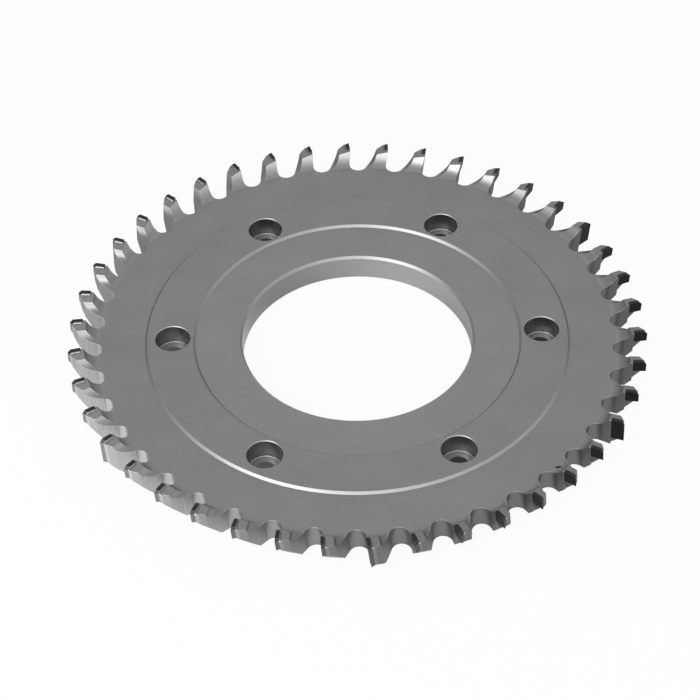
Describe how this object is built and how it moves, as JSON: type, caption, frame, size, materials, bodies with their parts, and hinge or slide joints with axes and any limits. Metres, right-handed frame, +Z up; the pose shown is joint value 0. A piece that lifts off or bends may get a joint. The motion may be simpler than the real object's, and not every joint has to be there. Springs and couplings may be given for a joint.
{
  "type": "hogging cutter",
  "caption": "Disc-shaped hogging cutter with a large bore, counterbored fixing holes on a raised ring, deep gullets and small brazed tips round the rim.",
  "frame": {"origin": "centre of the flat underside, on the bore axis", "axes": "+Z up along the bore axis, from the underside to the raised ring; +X towards one of the fixing holes"},
  "size_m": [0.2496, 0.25, 0.0186],
  "materials": {
    "body_steel": "fine ground, satin",
    "tip_carbide": "dark sintered carbide, ground, satin"
  },
  "bodies": {
    "root": {"cutter_body": "body_steel", "wide_tip_1": "tip_carbide", "wide_tip_2": "tip_carbide", "wide_tip_3": "tip_carbide", "wide_tip_4": "tip_carbide", "wide_tip_5": "tip_carbide", "wide_tip_6": "tip_carbide", "narrow_tip_1": "tip_carbide", "narrow_tip_2": "tip_carbide", "narrow_tip_3": "tip_carbide", "narrow_tip_4": "tip_carbide", "narrow_tip_5": "tip_carbide", "narrow_tip_6": "tip_carbide", "narrow_tip_7": "tip_carbide", "narrow_tip_8": "tip_carbide", "narrow_tip_9": "tip_carbide", "narrow_tip_10": "tip_carbide", "narrow_tip_11": "tip_carbide", "narrow_tip_12": "tip_carbide", "narrow_tip_13": "tip_carbide", "narrow_tip_14": "tip_carbide", "narrow_tip_15": "tip_carbide", "narrow_tip_16": "tip_carbide", "narrow_tip_17": "tip_carbide", "narrow_tip_18": "tip_carbide", "narrow_tip_19": "tip_carbide", "narrow_tip_20": "tip_carbide", "narrow_tip_21": "tip_carbide", "narrow_tip_22": "tip_carbide", "narrow_tip_23": "tip_carbide", "narrow_tip_24": "tip_carbide", "narrow_tip_25": "tip_carbide", "narrow_tip_26": "tip_carbide", "narrow_tip_27": "tip_carbide", "narrow_tip_28": "tip_carbide", "narrow_tip_29": "tip_carbide", "narrow_tip_30": "tip_carbide", "narrow_tip_31": "tip_carbide", "narrow_tip_32": "tip_carbide", "narrow_tip_33": "tip_carbide", "narrow_tip_34": "tip_carbide", "narrow_tip_35": "tip_carbide", "narrow_tip_36": "tip_carbide"}
  },
  "joints": []
}
